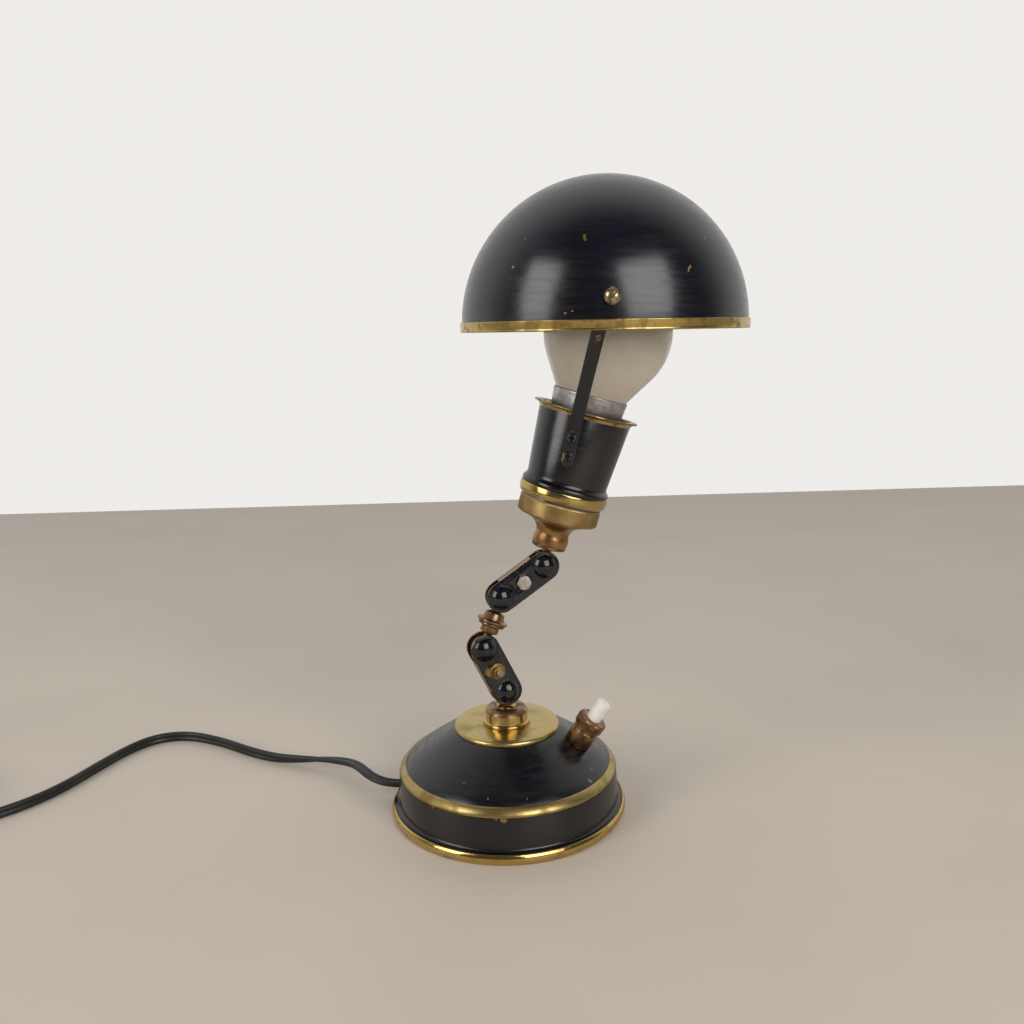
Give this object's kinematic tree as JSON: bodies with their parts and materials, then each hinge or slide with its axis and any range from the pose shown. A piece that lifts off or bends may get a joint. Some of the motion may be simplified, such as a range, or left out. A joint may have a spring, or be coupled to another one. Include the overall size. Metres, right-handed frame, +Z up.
{
  "type": "desk lamp",
  "caption": "Desk lamp with a weighted round foot, a jointed arm of clamped ball links and a hemispherical shade tilting on two strips.",
  "frame": {"origin": "centre of the foot's underside, on the surface that the lamp stands on", "axes": "+Z up; -Y is the front of the lamp as in the picture, +X to the right"},
  "size_m": [0.4874, 0.1557, 0.2959],
  "materials": {
    "felt": "wool felt",
    "dark_steel": "dull",
    "iron": "rough",
    "aged_brass": "worn",
    "satin_brass": "satin",
    "polished_brass": "polished",
    "copper_brass": "brown patina",
    "black_lacquer": "gloss",
    "nickel": "satin nickel",
    "steel": "worn",
    "aluminium": "dull",
    "opal_glass": "opal, glossy",
    "ceramic": "glazed",
    "white_plastic": "satin",
    "brown_plastic": "moulded",
    "plug_black": "moulded",
    "cord_black": "smooth"
  },
  "bodies": {
    "foot": {"felt_pad": "felt", "bottom_plate": "dark_steel", "iron_weight": "iron", "foot_ring": "aged_brass", "base_skirt": "black_lacquer", "shoulder_ring": "satin_brass", "base_cone": "black_lacquer", "top_disc": "polished_brass", "boss_base": "polished_brass", "boss_cap": "copper_brass", "tie_tube": "dark_steel", "tie_nut": "dark_steel", "base_leads": "cord_black", "switch_bush": "copper_brass", "switch_ring": "copper_brass", "switch_body": "brown_plastic", "switch_lock_nut": "aged_brass", "cord_grommet": "cord_black", "mains_cord": "cord_black", "mains_cord_coil": "cord_black", "plug_body": "plug_black", "plug_pins": "polished_brass"},
    "push_button": {"switch_button": "white_plastic"},
    "lower_stud": {"lower_ball_stud": "copper_brass"},
    "lower_link": {"lower_link_front": "black_lacquer", "lower_link_back": "black_lacquer", "lower_link_bolt": "nickel", "lower_link_nut": "aged_brass", "lower_link_washers": "aged_brass", "lower_link_leads": "cord_black"},
    "middle_low": {"middle_stud_lower": "copper_brass"},
    "middle_high": {"middle_stud_upper": "copper_brass"},
    "upper_link": {"upper_link_front": "black_lacquer", "upper_link_back": "black_lacquer", "upper_link_bolt": "nickel", "upper_link_nut": "aged_brass", "upper_link_leads": "cord_black"},
    "top_stud": {"top_ball_stud": "copper_brass"},
    "holder": {"holder_neck": "copper_brass", "knurled_ring": "aged_brass", "holder_core": "dark_steel", "bright_ring": "aged_brass", "holder_shell": "black_lacquer", "holder_lip": "aged_brass", "socket_insulator": "ceramic", "socket_sleeve": "aged_brass", "centre_contact": "aged_brass", "bulb_globe": "opal_glass", "bulb_collar": "aluminium", "bulb_cap": "aluminium", "bulb_contact": "dark_steel", "front_strip": "black_lacquer", "back_strip": "black_lacquer", "strip_rivets": "black_lacquer", "pivot_screws": "steel", "pivot_washers": "steel", "pivot_nuts": "steel"},
    "shade": {"shade_dome": "black_lacquer", "shade_rim": "polished_brass"}
  },
  "joints": [
    {"name": "arm_swivel", "type": "hinge", "parent": "foot", "child": "lower_stud", "pos_m": [0, 0, 0.05925], "axis": [0, 0, 1], "range_deg": [-150, 150]},
    {"name": "lower_ball_hinge", "type": "hinge", "parent": "lower_stud", "child": "lower_link", "pos_m": [0, 0, 0.05925], "axis": [0.3535, -0.9354, 0], "range_deg": [-71, 19]},
    {"name": "middle_low_hinge", "type": "hinge", "parent": "lower_link", "child": "middle_low", "pos_m": [-0.01022, -0.00386, 0.08185], "axis": [-0.3535, 0.9354, 0], "range_deg": [-108, 11]},
    {"name": "middle_swivel", "type": "hinge", "parent": "middle_low", "child": "middle_high", "pos_m": [-0.01022, -0.00386, 0.08185], "axis": [0.3565, 0.1347, 0.9245], "range_deg": [-90, 90]},
    {"name": "middle_high_hinge", "type": "hinge", "parent": "middle_high", "child": "upper_link", "pos_m": [-0.001, -0.00038, 0.10575], "axis": [0.1595, -0.9838, 0.0818], "range_deg": [-25, 94]},
    {"name": "top_ball_hinge", "type": "hinge", "parent": "upper_link", "child": "top_stud", "pos_m": [0.01955, 0.00409, 0.11944], "axis": [-0.1595, 0.9838, -0.0818], "range_deg": [-19, 100]},
    {"name": "holder_swivel", "type": "hinge", "parent": "top_stud", "child": "holder", "pos_m": [0.01955, 0.00409, 0.11944], "axis": [0.2808, 0.0015, 0.9598], "range_deg": [-120, 120]},
    {"name": "shade_tilt", "type": "hinge", "parent": "holder", "child": "shade", "pos_m": [0.04917, 0.00461, 0.24007], "axis": [0.0586, 0.9981, -0.0187], "range_deg": [-34, 65]},
    {"name": "button_press", "type": "slide", "parent": "foot", "child": "push_button", "axis": [0.5184, -0.1389, 0.8438], "range_m": [-0.003, 0], "stiffness_N_per_m": 400}
  ]
}
